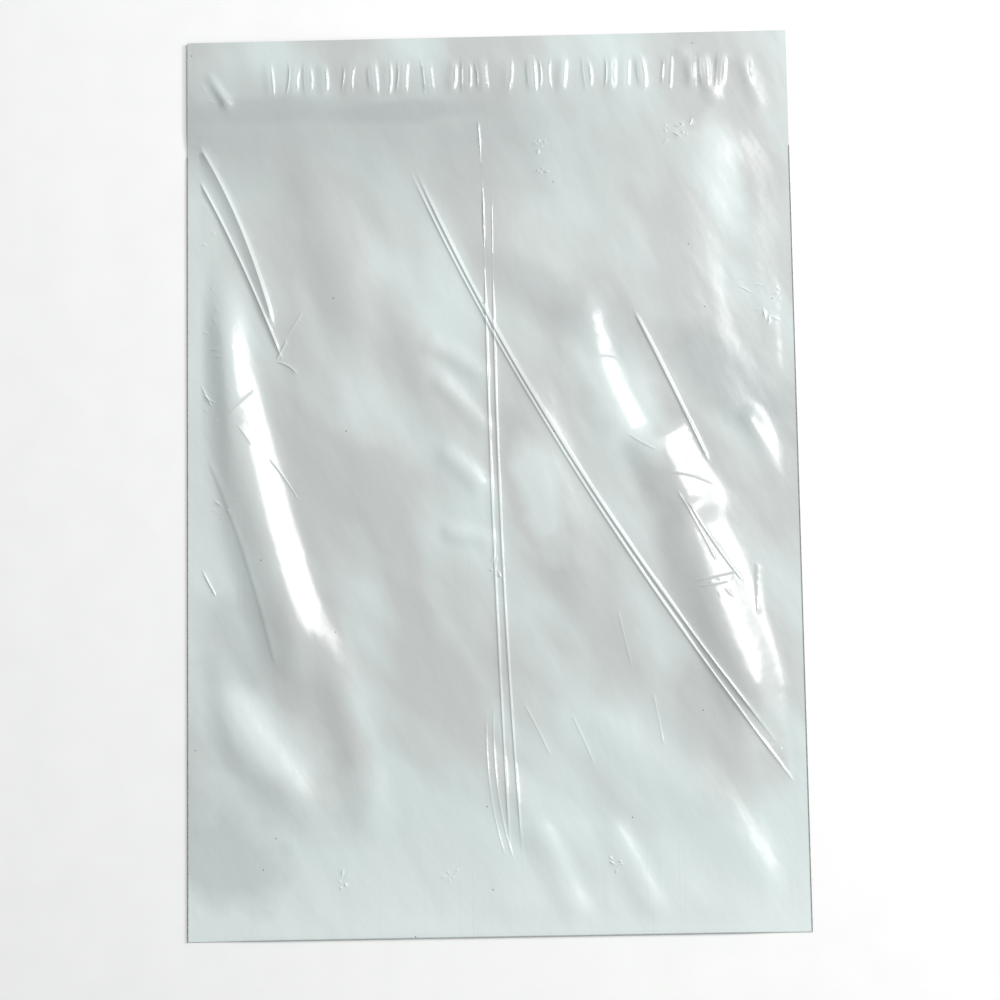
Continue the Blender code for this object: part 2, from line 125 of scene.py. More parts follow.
FOLDS = (
    # Long diagonal, a pair of creases
    Fold((0.366, 0.855), (0.580, 0.520), (1.000, 0.140), 0.00040, 0.0012, 0.0012, True),
    Fold((0.375, 0.855), (0.578, 0.530), (0.960, 0.195), 0.00048, 0.0010, 0.0018, True),
    # Short one beside it
    Fold((0.735, 0.685), (0.795, 0.600), (0.855, 0.510), 0.00045, 0.0012, 0.0016, True),
    # Middle crease from the bag's own folding, a pair
    Fold((0.491, 0.865), (0.492, 0.450), (0.520, 0.080), 0.00032, 0.0010, 0.0012, True),
    Fold((0.506, 0.865), (0.500, 0.450), (0.540, 0.075), 0.00032, 0.0010, 0.0012, True),
    # Two creases that leave the left weld
    Fold((-0.020, 0.888), (0.070, 0.790), (0.160, 0.630), 0.0007, 0.0014, 0.0012, True),
    Fold((-0.020, 0.922), (0.085, 0.825), (0.145, 0.668), 0.0011, 0.0050, 0.0018, True),
    # Long soft ridge down the left, steep on its right side
    Fold((0.026, 0.760), (0.080, 0.500), (0.222, 0.240), 0.0037, 0.0190, 0.0170, False),
    # Chain of soft ridges down the right
    Fold((0.650, 0.720), (0.662, 0.590), (0.775, 0.500), 0.0012, 0.0150, 0.0105, False),
    Fold((0.764, 0.558), (0.783, 0.512), (0.845, 0.435), 0.0026, 0.0180, 0.0165, False),
    Fold((0.797, 0.472), (0.857, 0.371), (0.950, 0.205), 0.0026, 0.0180, 0.0175, False),
    # Short slanting ones at the right end of the puckers, and one at the left end
    Fold((0.818, 0.985), (0.832, 0.965), (0.850, 0.940), 0.0005, 0.0045, 0.0050, False),
    Fold((0.850, 0.975), (0.862, 0.950), (0.882, 0.915), 0.0006, 0.0050, 0.0055, False),
    Fold((0.915, 0.975), (0.940, 0.945), (0.962, 0.905), 0.0006, 0.0055, 0.0060, False),
    Fold((0.028, 0.968), (0.048, 0.948), (0.075, 0.920), 0.0014, 0.0032, 0.0030, False),
    # Shallow valley beside the right weld
    Fold((0.885, 0.862), (0.890, 0.750), (0.920, 0.600), -0.0006, 0.0200, 0.0150, False),
    # Soft ridges between and beside them
    Fold((0.330, 0.700), (0.420, 0.560), (0.500, 0.440), 0.0010, 0.0160, 0.0160, False),
    Fold((0.540, 0.640), (0.610, 0.450), (0.660, 0.300), 0.0007, 0.0140, 0.0160, False),
    Fold((-0.020, 0.335), (0.060, 0.240), (0.220, 0.110), 0.0020, 0.0160, 0.0150, False),
    Fold((0.215, 0.370), (0.255, 0.230), (0.320, 0.080), 0.0010, 0.0120, 0.0120, False),
    Fold((0.420, 0.200), (0.560, 0.130), (0.700, 0.060), 0.0008, 0.0150, 0.0150, False),
    Fold((0.640, 0.260), (0.740, 0.180), (0.840, 0.110), 0.0006, 0.0150, 0.0150, False),
    Fold((0.780, 0.200), (0.860, 0.120), (0.960, 0.030), 0.0009, 0.0160, 0.0140, False),
    Fold((0.550, 0.130), (0.600, 0.070), (0.640, 0.000), 0.0008, 0.0100, 0.0080, False),
    Fold((0.670, 0.130), (0.720, 0.070), (0.760, 0.000), 0.0008, 0.0100, 0.0080, False),
    Fold((0.180, 0.880), (0.260, 0.760), (0.300, 0.600), 0.0010, 0.0170, 0.0170, False),
    # One from the middle of the right edge
    Fold((0.905, 0.575), (0.955, 0.530), (1.000, 0.460), 0.0013, 0.0070, 0.0075, False),
    # Short soft ones that run into the middle crease from its left
    Fold((0.380, 0.655), (0.440, 0.640), (0.500, 0.605), 0.0007, 0.0060, 0.0070, False),
    Fold((0.400, 0.615), (0.450, 0.590), (0.500, 0.541), 0.0007, 0.0060, 0.0060, False),
    Fold((0.410, 0.535), (0.450, 0.515), (0.490, 0.480), 0.0006, 0.0060, 0.0060, False),
    Fold((0.410, 0.440), (0.460, 0.440), (0.505, 0.425), 0.0006, 0.0060, 0.0060, False),
    # Fine creases across the bright parts
    Fold((0.074, 0.576), (0.092, 0.590), (0.112, 0.602), 0.00022, 0.0008, 0.0008, True),
    Fold((0.084, 0.562), (0.096, 0.551), (0.107, 0.539), 0.00016, 0.0007, 0.0007, True),
    Fold((0.134, 0.525), (0.162, 0.503), (0.182, 0.479), 0.00018, 0.0007, 0.0007, True),
    Fold((0.674, 0.632), (0.693, 0.634), (0.710, 0.630), 0.00014, 0.0007, 0.0007, True),
    Fold((0.722, 0.545), (0.745, 0.532), (0.768, 0.526), 0.00018, 0.0007, 0.0007, True),
    Fold((0.790, 0.500), (0.825, 0.498), (0.862, 0.486), 0.00018, 0.0007, 0.0007, True),
    Fold((0.825, 0.380), (0.860, 0.383), (0.894, 0.390), 0.00020, 0.0007, 0.0007, True),
    Fold((0.830, 0.374), (0.855, 0.374), (0.880, 0.379), 0.00016, 0.0006, 0.0006, True),
    Fold((0.815, 0.470), (0.860, 0.415), (0.905, 0.378), 0.00030, 0.0010, 0.0011, True),
    Fold((0.800, 0.480), (0.835, 0.440), (0.862, 0.400), 0.00024, 0.0009, 0.0010, True),
    # Faint straight ones
    Fold((0.545, 0.250), (0.568, 0.222), (0.586, 0.193), 0.00012, 0.0009, 0.0012, True),
    Fold((0.622, 0.237), (0.640, 0.211), (0.656, 0.184), 0.00012, 0.0009, 0.0012, True),
    Fold((0.754, 0.259), (0.762, 0.231), (0.769, 0.203), 0.00010, 0.0009, 0.0009, True),
    Fold((0.700, 0.350), (0.710, 0.319), (0.721, 0.287), 0.00010, 0.0009, 0.0009, True),
    Fold((0.927, 0.400), (0.925, 0.372), (0.926, 0.343), 0.00025, 0.0013, 0.0040, True),
    # Fine creases at the left edge
    Fold((0.022, 0.610), (0.030, 0.598), (0.041, 0.585), 0.00030, 0.0007, 0.0008, True),
    Fold((0.025, 0.600), (0.034, 0.592), (0.048, 0.588), 0.00026, 0.0007, 0.0007, True),
    Fold((0.023, 0.405), (0.034, 0.389), (0.047, 0.374), 0.00032, 0.0007, 0.0009, True),
    Fold((0.165, 0.658), (0.157, 0.647), (0.148, 0.636), 0.00032, 0.0007, 0.0009, True),
    Fold((0.148, 0.633), (0.170, 0.630), (0.181, 0.619), 0.00030, 0.0007, 0.0009, True),
    Fold((0.192, 0.690), (0.180, 0.676), (0.166, 0.664), 0.00016, 0.0007, 0.0007, True),
    Fold((0.030, 0.531), (0.097, 0.431), (0.145, 0.290), 0.00022, 0.0014, 0.0040, True),
    # Fine ends of the middle crease
    Fold((0.484, 0.905), (0.490, 0.860), (0.492, 0.760), 0.00022, 0.0009, 0.0012, True),
    Fold((0.496, 0.250), (0.490, 0.150), (0.526, 0.080), 0.00014, 0.0009, 0.0009, True),
    Fold((0.484, 0.240), (0.480, 0.150), (0.512, 0.085), 0.00012, 0.0008, 0.0008, True),
)

# Share of its length over which each kind of fold rises at both ends
CRISP_FADE = 0.09
SOFT_FADE = 0.2
PUCKER_FADE = 0.3
HAIR_FADE = 0.5

# Waves of the film: long along the diagonal and short across it
WAVE_TURN = math.radians(-62)
WAVE_LENGTH = 0.150
WAVE_WIDTH = 0.045
WAVE_HEIGHT = 0.0012
WAVE_SEED = 3.7
RIPPLE_LENGTH = 0.030
RIPPLE_WIDTH = 0.012
RIPPLE_HEIGHT = 0.00022
RIPPLE_SEED = 8.1

# Zones of small crinkles: their lines, as shares of the panel, and reach. The crinkles are full over the
# inner third of the reach. Long ones lie near the waves' direction, and shorter, sharper ones across it.
CRINKLED = (
    (((0.640, 0.690), (0.730, 0.560), (0.820, 0.430), (0.900, 0.310), (0.975, 0.190)), 0.020),
    (((0.030, 0.800), (0.030, 0.700), (0.036, 0.600), (0.040, 0.560)), 0.007),
    (((0.940, 0.730), (0.962, 0.690), (0.972, 0.640)), 0.012),
    (((0.020, 0.930), (0.050, 0.980)), 0.010),
)
ZONE_STEEPNESS = 1.5
CRINKLE_TURN = WAVE_TURN - 0.25
CRINKLE_LENGTH = 0.026
CRINKLE_WIDTH = 0.0095
CRINKLE_HEIGHT = 0.00022
CRINKLE_SEED = 1.3
CREASED_TURN = 0.3
CREASED_LENGTH = 0.012
CREASED_WIDTH = 0.0050
CREASED_HEIGHT = 0.00005
CREASED_SEED = 5.9

# Small crumples of short creases: their middles as shares of the panel, and the reach of their creases
CRUMPLES = (
    ((0.028, 0.640), 0.010),
    ((0.868, 0.375), 0.008),
    ((0.500, 0.398), 0.006),
    ((0.060, 0.470), 0.007),
    ((0.955, 0.690), 0.012),
    ((0.587, 0.874), 0.004),
    ((0.590, 0.845), 0.003),
    ((0.803, 0.887), 0.006),
    ((0.826, 0.890), 0.005),
    ((0.250, 0.062), 0.005),
    ((0.423, 0.066), 0.004),
    ((0.690, 0.075), 0.004),
)
CRUMPLE_CREASES = 5
CRUMPLE_HEIGHT = 0.00032

# Fine creases across the crinkled zones at the edges: how far apart their middles are, their height, how far
# off the zone's line they lie as a share of its reach, their lean from it, and how much a stretch's length
# shifts their rule
CROSSING_PITCH = 0.0048
CROSSING_HEIGHT = 0.00018
CROSSING_OFF = 0.7
CROSSING_LEAN = 1.1
CROSSING_PHASE = 40

# Half width of the creases of crumples and crinkled zones, the points along one, and the turn from each to
# the next
HAIR_WIDTH = 0.0006
HAIR_POINTS = 8
GOLDEN_TURN = 2.399963

# Puckers over the strip of glue, and the thin creases along them
PUCKER_PITCH = 0.0084
PUCKER_SHIFT = 0.25 * PUCKER_PITCH
PUCKER_POINTS = 13
PUCKERS_LEFT_OUT = 2
PUCKER_HEIGHT = 0.00050
PUCKER_HALF_WIDTH = 0.0032
PUCKER_LEAN = 0.0009
STROKE_HEIGHT = 0.00028
STROKE_WIDTH = 0.0011
STROKE_BEND = 0.0012
STROKE_APART = 0.0017
SINGLE_STROKE_EVERY = 3


def smooth(share):
    """0 below 0, 1 above 1, and an even S between. Takes numbers and arrays."""
    share = np.clip(share, 0.0, 1.0)
    return share * share * (3 - 2 * share)


def varied(middle, swing, phase):
    """A number that swings about its middle by a rule, so repeats look uneven and are the same each run."""
    return middle + swing * math.sin(phase)


def steps_between(start, end, spacing):
    count = max(1, math.ceil(abs(end - start) / spacing))
    return np.linspace(start, end, count + 1)


def on_panel(share):
    return np.array([(share[0] - 0.5) * BAG_WIDTH, (share[1] - 0.5) * BAG_LENGTH])


def line_of(fold):
    """Points along the fold's bent line, LINE_STEP apart."""
    start, bend, end = (on_panel(share) for share in (fold.start, fold.bend, fold.end))
    steps = max(4, round(float(np.linalg.norm(end - start)) / LINE_STEP))
    t = np.linspace(0, 1, steps + 1)[:, None]
    return (1 - t) ** 2 * start + 2 * t * (1 - t) * bend + t * t * end


def beside(line, distance):
    """The line moved sideways by a distance and kept between the welds. A positive distance moves a line that
    runs down the bag towards +X."""
    along = np.gradient(line, axis=0)
    along /= np.linalg.norm(along, axis=1)[:, None]
    moved = line + distance * np.stack([-along[:, 1], along[:, 0]], axis=1)
    moved[:, 0] = np.clip(moved[:, 0], -WELD_X, WELD_X)
    return moved


def pucker_lines():
    """The crest of each pucker across the strip of glue, with its height. Both vary by a rule."""
    count = int((GLUE_HIGH.x - GLUE_LOW.x) / PUCKER_PITCH)
    for i in range(PUCKERS_LEFT_OUT, count):
        x = varied(middle=(i + 0.5 - count / 2) * PUCKER_PITCH, swing=PUCKER_SHIFT, phase=4.7 * i)
        lean = varied(middle=0, swing=PUCKER_LEAN, phase=2.3 * i + 0.6)
        height = PUCKER_HEIGHT * varied(middle=0.65, swing=0.35, phase=3.1 * i)
        bottom = np.array([x - lean, GLUE_LOW.y])
        top = np.array([x + lean, GLUE_HIGH.y])
        yield straight(bottom, top, PUCKER_POINTS), height


def pucker_strokes():
    """The thin creases along each pucker: two that bend to or from each other, or one at every third."""
    for number, (line, _) in enumerate(PUCKERS):
        t = np.linspace(-1, 1, len(line))
        for side in (-1, 1) if number % SINGLE_STROKE_EVERY else (1,):
            bent = line.copy()
            bent[:, 0] += side * (STROKE_APART + STROKE_BEND * t * t * math.sin(1.9 * number))
            reach = 0.55 + 0.45 * abs(math.sin(2.7 * number + side))
            middle = bent.mean(0)
            rise = STROKE_HEIGHT * (0.5 + 0.5 * math.sin(2.2 * number + side) ** 2)
            yield middle + reach * (bent - middle), rise


def straight(start, end, points=HAIR_POINTS):
    return start + np.linspace(0, 1, points)[:, None] * (end - start)


def away_at(turn):
    """The direction at a turn from +X."""
    return np.array([math.cos(turn), math.sin(turn)])


def crumple_lines():
    """The short creases of each crumple, with their height. Their turns and lengths follow a rule."""
    for number, (middle, reach) in enumerate(CRUMPLES):
        for i in range(CRUMPLE_CREASES):
            turn = GOLDEN_TURN * (CRUMPLE_CREASES * number + i)
            run = away_at(varied(middle=turn, swing=0.9, phase=5 * turn))
            start = on_panel(middle) + reach * varied(middle=0.30, swing=0.20, phase=3 * turn) * away_at(turn)
            length = reach * varied(middle=0.55, swing=0.35, phase=1.7 * turn)
            rise = CRUMPLE_HEIGHT * varied(middle=0.7, swing=0.3, phase=2.9 * turn)
            yield straight(start, start + length * run), rise


def crossing_lines():
    """Fine creases that cross the crinkled zones at the edges at varied angles, with their height."""
    for corners, reach in CRINKLED[1:]:
        line = np.array([on_panel(corner) for corner in corners])
        for start, end in zip(line[:-1], line[1:]):
            span = end - start
            length = float(np.linalg.norm(span))
            aim = math.atan2(span[1], span[0])
            for i in range(int(length / CROSSING_PITCH)):
                turn = GOLDEN_TURN * i + CROSSING_PHASE * length
                middle = start + (i + 0.5) * CROSSING_PITCH / length * span
                aside = np.array([math.sin(aim), -math.cos(aim)])
                middle = middle + CROSSING_OFF * reach * math.sin(3 * turn) * aside
                lean = varied(middle=aim + CROSSING_LEAN, swing=0.8, phase=turn)
                half = reach * varied(middle=0.16, swing=0.12, phase=2.3 * turn) * away_at(lean)
                rise = CROSSING_HEIGHT * varied(middle=0.8, swing=0.4, phase=4.1 * turn)
                yield straight(middle - half, middle + half), rise


def wave_field(places, length, width, seed, turn=WAVE_TURN):
    """Smooth noise from about -1 to 1, stretched along one direction."""
    along = np.array([math.cos(turn), math.sin(turn)])
    across = np.array([-along[1], along[0]])
    run, side = places @ along / length, places @ across / width
    return np.array([noise.noise((a, b, seed)) for a, b in zip(run, side)])


LINES = [(fold, line_of(fold)) for fold in FOLDS]
PUCKERS = list(pucker_lines())
STROKES = list(pucker_strokes())
HAIRS = list(crumple_lines()) + list(crossing_lines())


def along_and_off(places, line, reach):
    """For the places within reach of the line: which they are, how far along it, as a share, and how far off
    it. Off a line that runs down the bag, it is positive towards +X."""
    low, high = line.min(0) - reach, line.max(0) + reach
    near = np.flatnonzero(((places > low) & (places < high)).all(1))
    starts, runs = line[:-1], np.diff(line, axis=0)
    gaps = places[near, None, :] - starts[None]
    share = np.clip((gaps * runs).sum(2) / (runs * runs).sum(1), 0, 1)
    offs = gaps - share[..., None] * runs
    distance = np.linalg.norm(offs, axis=2)
    nearest = distance.argmin(1)
    rows = np.arange(len(near))
    run, off = runs[nearest], offs[rows, nearest]
    side = np.sign(off[:, 1] * run[:, 0] - off[:, 0] * run[:, 1])
    along = (nearest + share[rows, nearest]) / len(runs)
    return near, along, side * distance[rows, nearest]


def ridge(off, left, right, crisp):
    """A ridge's height at a distance from its crest, as a share."""
    inward = np.clip(1 - np.abs(off) / np.where(off < 0, left, right), 0, 1)
    return inward * inward if crisp else smooth(inward)


def crest(places, line, height, left, right, crisp, fade):
    """Which places a ridge along the line lifts, and by how much. It fades over a share of its length."""
    near, along, off = along_and_off(places, line, max(left, right))
    return near, height * smooth(along / fade) * smooth((1 - along) / fade) * ridge(off, left, right, crisp)


def crisp_relief(places):
    """Height of all that is sharp or small at places on the address side: crisp creases, puckers with their
    thin creases, crumples, and the creases across the crinkled zones."""
    height = np.zeros(len(places))
    for fold, line in LINES:
        if fold.crisp:
            near, rise = crest(places, line, *fold[3:], CRISP_FADE)
            height[near] += rise
    for line, rise in PUCKERS:
        near, rise = crest(places, line, rise, PUCKER_HALF_WIDTH, PUCKER_HALF_WIDTH, False, PUCKER_FADE)
        height[near] += rise
    for lines, width, fade in ((STROKES, STROKE_WIDTH, PUCKER_FADE), (HAIRS, HAIR_WIDTH, HAIR_FADE)):
        for line, rise in lines:
            near, rise = crest(places, line, rise, width, width, True, fade)
            height[near] += rise
    return height


def soft_relief(places):
    """Height of the soft ridges at places on the address side."""
    height = np.zeros(len(places))
    for fold, line in LINES:
        if not fold.crisp:
            near, rise = crest(places, line, *fold[3:], SOFT_FADE)
            height[near] += rise
    return height


def waves(places):
    """Height of the film's waves and ripples above or below its even level."""
    height = WAVE_HEIGHT * wave_field(places, WAVE_LENGTH, WAVE_WIDTH, WAVE_SEED)
    return height + RIPPLE_HEIGHT * wave_field(places, RIPPLE_LENGTH, RIPPLE_WIDTH, RIPPLE_SEED)


def crinkles(places):
    """Height of the small crinkles in their zones, above or below the even level."""
    height = np.zeros(len(places))
    zone = crinkled(places)
    inside = np.flatnonzero(zone > 0)
    if len(inside):
        held = places[inside]
        rough = CRINKLE_HEIGHT * wave_field(held, CRINKLE_LENGTH, CRINKLE_WIDTH, CRINKLE_SEED, CRINKLE_TURN)
        creased = wave_field(held, CREASED_LENGTH, CREASED_WIDTH, CREASED_SEED, CREASED_TURN)
        rough += CREASED_HEIGHT * (1 - 2 * np.abs(creased))
        height[inside] = zone[inside] * rough
    return height


def crinkled(places):
    """How much of the fine crinkles a place has, from 0 to 1."""
    share = np.zeros(len(places))
    for corners, reach in CRINKLED:
        line = np.array([on_panel(corner) for corner in corners])
        near, _, off = along_and_off(places, line, reach)
        share[near] = np.maximum(share[near], smooth(ZONE_STEEPNESS * (1 - np.abs(off) / reach)))
    return share


def spread(places):
    """Distance between the middles of the two films: least at the welds, and open between them."""
    x, y = places[:, 0], places[:, 1]
    inward = WELD_X - np.abs(x)
    from_weld = smooth(inward / SIDE_RAMP)
    past_mouth = smooth((y - MOUTH_Y) / RAMP)
    level = LOFT + (FLAP_LOFT - LOFT) * past_mouth
    freedom = 1 - (1 - from_weld) * (1 - past_mouth)
    ends = smooth((y - FOLD_Y) / RAMP)
    flat = WELD_GAP + freedom * (2 * FOLD_RADIUS + (level - 2 * FOLD_RADIUS) * ends - WELD_GAP)
    held = ends * smooth((TOP_Y - y) / (TOP_Y - GLUE_HIGH.y))
    crisp = crisp_relief(places) + (1 - past_mouth) * crinkles(places)
    folded = smooth(inward / RAMP) * soft_relief(places) + smooth(inward / FADE) * crisp
    wavy = from_weld * (1 - past_mouth) * waves(places)
    return np.maximum(flat + held * (folded + wavy), WELD_GAP + LEAST_OPEN * (flat - WELD_GAP))


def fold_up(blank):
    """Where the points of the flat blank lie in the folded bag. The blank's second coordinate falls down the
    back panel, round the bottom fold, and up the front panel to the mouth."""
    x, s = blank[:, 0], blank[:, 1]
    past = np.maximum(FOLD_Y - s, 0)
    turn = np.clip(past / FOLD_RADIUS, 0, math.pi)
    on_front = np.maximum(past - FOLD_LENGTH, 0)
    y = np.where(past > 0, FOLD_Y - FOLD_RADIUS * np.sin(turn) + on_front, s)
    height = spread(np.stack([x, np.maximum(s, FOLD_Y)], axis=1))
    z = LOW_Z + height * (1 + np.cos(turn)) / 2
    return np.stack([x, y, z], axis=1)


def guide_lines():
    """Lines of the blank that become edges of the mesh."""
    across = steps_between(-EDGE_X, EDGE_X, RIM_STEP)
    rows = [FOLD_Y - FOLD_LENGTH * i / FOLD_STEPS for i in range(FOLD_STEPS + 1)]
    rows += [TOP_Y, BLANK_END]
    guides = [np.stack([across, np.full(len(across), s)], axis=1) for s in rows]
    upper = steps_between(FOLD_Y, TOP_Y, SIDE_STEP)
    lower = steps_between(FOLD_Y - FOLD_LENGTH, BLANK_END, COARSE_GRID)
    for x in (-EDGE_X, -WELD_X, WELD_X, EDGE_X):
        for stretch in (upper, lower):
            guides.append(np.stack([np.full(len(stretch), x), stretch], axis=1))
    for fold, line in LINES:
        if fold.crisp:
            guides += [beside(line, -share * fold.left) for share in LEFT_SHARES]
            guides += [beside(line, share * fold.right) for share in RIGHT_SHARES]
    for line, _ in PUCKERS:
        guides += [beside(line, share * PUCKER_HALF_WIDTH) for share in PUCKER_SHARES]
    for lines, width in ((STROKES, STROKE_WIDTH), (HAIRS, HAIR_WIDTH)):
        for line, _ in lines:
            guides += [beside(line, share * width) for share in THIN_SHARES]
    return guides


def grid_points(lowest, highest, spacing):
    """A staggered grid over a stretch of the blank."""
    rows = steps_between(lowest, highest, spacing * math.sqrt(3) / 2)
    across = steps_between(-WELD_X, WELD_X, spacing)
    points = []
    for i, s in enumerate(rows[1:-1]):
        shifted = across + spacing / 2 * (i % 2)
        points.append(np.stack([shifted, np.full(len(shifted), s)], axis=1))
    points = np.concatenate(points)
    return points[np.abs(points[:, 0]) < WELD_X - spacing / 4]


def blank_mesh():
    """The flat blank's points and triangles: guide lines first, then a grid that keeps clear of them."""
    guides = guide_lines()
    ends = np.cumsum([len(guide) for guide in guides])
    edges = [(i, i + 1) for i in range(ends[-1] - 1) if i + 1 not in ends]
    points = [Vector(point) for guide in guides for point in guide]
    taken = kdtree.KDTree(len(points))
    for i, point in enumerate(points):
        taken.insert(point.to_3d(), i)
    taken.balance()
    coarse = grid_points(FOLD_Y, TOP_Y, GRID)
    fine = grid_points(FOLD_Y, TOP_Y, FINE_GRID)
    for grid, spacing in (
        (coarse[crinkled(coarse) == 0], GRID),
        (fine[crinkled(fine) > 0], FINE_GRID),
        (grid_points(FOLD_Y - FOLD_LENGTH, BLANK_END, COARSE_GRID), COARSE_GRID),
    ):
        for point in grid:
            place = Vector(point)
            if taken.find(place.to_3d())[2] > spacing / 2:
                points.append(place)
    found = geometry.delaunay_2d_cdt(points, edges, [], 0, MERGE, False)
    return np.array([tuple(point) for point in found[0]]), found[2]


def object_of(name, mesh, materials):
    for material in materials:
        mesh.materials.append(material)
    obj = bpy.data.objects.new(name, mesh)
    bpy.context.scene.collection.objects.link(obj)
    return obj


def weld_bar(side):
    """The fused film between the two layers at one side: a flat bar whose outer edge is a round bead."""
    bm = bmesh.new()
    top = LOW_Z + WELD_GAP
    first = -math.pi - math.asin((LOW_Z - BEAD_Z) / BEAD_RADIUS)
    last = math.pi - math.asin((top - BEAD_Z) / BEAD_RADIUS)
    turns = steps_between(first, last, BEAD_STEP)
    outline = [(WELD_X, top), (WELD_X, LOW_Z)]
    outline += [(EDGE_X + BEAD_RADIUS * math.cos(a), BEAD_Z + BEAD_RADIUS * math.sin(a)) for a in turns]
    start = FOLD_Y - FOLD_RADIUS
    ring = [bm.verts.new((side * x, start, z)) for x, z in outline]
    end_face = bm.faces.new(ring)
    grown = bmesh.ops.extrude_face_region(bm, geom=[end_face])["geom"]
    moved = [item for item in grown if isinstance(item, bmesh.types.BMVert)]
    bmesh.ops.translate(bm, verts=moved, vec=(0, MOUTH_Y - FILM - start, 0))
    bmesh.ops.recalc_face_normals(bm, faces=bm.faces)
    mesh = bpy.data.meshes.new("weld_bar")
    bm.to_mesh(mesh)
    bm.free()
    return mesh


def apply_modifiers(obj):
    """Turns what the modifiers make into the object's own mesh."""
    graph = bpy.context.evaluated_depsgraph_get()
    made = bpy.data.meshes.new_from_object(obj.evaluated_get(graph))
    obj.modifiers.clear()
    obj.data = made


def fine_film(outside, inside, weld):
    """The bag's film: the folded blank with its thickness, joined with its two side welds."""
    blank, triangles = blank_mesh()
    mesh = bpy.data.meshes.new("film_fine")
    mesh.from_pydata(fold_up(blank).tolist(), [], triangles)
    film = object_of("film_fine", mesh, (outside, inside, weld))
    skin = film.modifiers.new("film thickness", "SOLIDIFY")
    skin.thickness = FILM
    skin.offset = 0.0
    skin.use_even_offset = True
    skin.material_offset = 1
    skin.material_offset_rim = 1
    bars = []
    for side in (-1, 1):
        bar = object_of("weld_bar", weld_bar(side), (weld,))
        joined = film.modifiers.new("side weld", "BOOLEAN")
        joined.operation = "UNION"
        joined.solver = "MANIFOLD"
        joined.object = bar
        bars.append(bar)
    apply_modifiers(film)
    for bar in bars:
        bpy.data.objects.remove(bar, do_unlink=True)
    film.data.shade_smooth()
    film.data.set_sharp_from_angle(angle=SHARP_ANGLE)
    return film


# Colours of the film, its specks and the floor. The dark film colour draws the film's fine lines and also
# serves as painted shade; the pale one serves only as painted light.
FILM_GREY = (0.520, 0.535, 0.525, 1.0)
FILM_BLUISH = (0.625, 0.695, 0.685, 1.0)
FILM_LINES_AND_SHADE = (0.420, 0.450, 0.445, 1.0)
FILM_PAINTED_LIGHT = (0.700, 0.765, 0.755, 1.0)
SPECK_COLOUR = (0.08, 0.08, 0.08, 1.0)
FLOOR_LOW = (0.885, 0.882, 0.872, 1.0)
FLOOR_HIGH = (0.905, 0.902, 0.892, 1.0)

# Bluish clouds: their size, the noise at which they start and are full, and where towards the bottom the film
# is bluish all over, as part of the painted reflection there
CLOUD_SIZE = (0.085, 0.036)
CLOUD_FROM = 0.43
CLOUD_FULL = 0.66
BLUISH_FROM = -0.118
BLUISH_FULL = -0.155

# Paler film at the bottom, a painted reflection: how far the clouds sway it, and where it starts and is full
PALE_SWAY = -0.060
PALE_FROM = -0.172
PALE_FULL = -0.215

# Soft fields of painted shade and painted light: middle as shares of the panel, half length and half width,
# turn of the length from the panel's width in degrees, how much the colour changes, and whether it is painted
# shade
Field = namedtuple("Field", "middle half_length half_width turn share dark")

LIGHT_AND_SHADE_FIELDS = (
    Field((0.078, 0.315), 0.030, 0.018, -70, 0.35, True),
    Field((0.140, 0.215), 0.045, 0.016, -35, 0.60, False),
    Field((0.900, 0.600), 0.042, 0.018, -40, 0.70, True),
    Field((0.601, 0.754), 0.035, 0.022, -50, 0.30, False),
    Field((0.577, 0.479), 0.034, 0.011, -75, 0.75, False),
    Field((0.062, 0.095), 0.035, 0.025, -40, 0.45, True),
    Field((0.700, 0.610), 0.046, 0.018, -62, 0.80, False),
    Field((0.888, 0.840), 0.028, 0.012, -80, 0.70, False),
    Field((0.301, 0.589), 0.035, 0.018, -60, 0.30, False),
    Field((0.355, 0.915), 0.040, 0.006, 2, 0.70, True),
    Field((0.140, 0.920), 0.045, 0.007, 2, 0.50, True),
    Field((0.620, 0.690), 0.050, 0.014, -35, 0.40, True),
)

# How far noise sways a field's edge, the noise's scale, and the share of a field's reach within which it is
# full
FIELD_SWAY = 0.9
FIELD_SCALE = 45.0
FIELD_FULL = 0.5

# Painted shade: a greyer band below the strip of glue, where the film dips past the glue's edge. Its top,
# middle and end, how far the clouds sway it, its share, and where across the bag it is full and has ended
SHADE_TOP = 0.183
SHADE_MIDDLE = 0.158
SHADE_END = 0.120
SHADE_SWAY = 0.030
SHADE_SHARE = 0.60
SHADE_FULL = 0.000
SHADE_RIGHT = 0.085

# Painted light, paler film along the left edge in place of fill light: where it starts and is full, and how
# low and high it reaches
EDGE_FROM = -0.070
EDGE_FULL = -0.105
EDGE_LOW = -0.110
EDGE_HIGH = -0.070
EDGE_UPPER = 0.120
EDGE_TOP = 0.148
EDGE_SHARE = 0.65

# Fine lines from the film's making: their size, the noise at which they start and are full, and their share
LINE_SIZE = (0.0009, 0.070)
LINE_FROM = 0.60
LINE_FULL = 0.80
LINE_SHARE = 0.14

# Specks: how far apart their cells are, how large they are, the share of cells that hold one
SPECK_SPACING = 0.030
SPECK_RADIUS = 0.00035
SPECK_CORE = 0.4
SPECK_SHARE = 0.22

# The film's gloss, and its three kinds of bump with their strength and height. The lines are the third.
GLOSS_SCALE = 60.0
GLOSS_ROUGHNESS = (0.18, 0.25)
GRAIN_SCALE = 220.0
GRAIN_STRENGTH = 0.12
GRAIN_HEIGHT = 0.0004
UNEVEN_SIZE = (0.024, 0.009)
UNEVEN_STRENGTH = 0.20
UNEVEN_HEIGHT = 0.0010
LINE_STRENGTH = 0.10
LINE_HEIGHT = 0.00005

# Detail of the noise in the clouds, in the film's fine lines and soft bumps, and in the rest
CLOUD_DETAIL = 2.5
SOFT_DETAIL = 2.0
NOISE_DETAIL = 3.0

# Noise between which a gloss varies, the film's and the other matters'
NOISE_RANGE = (0.3, 0.7)

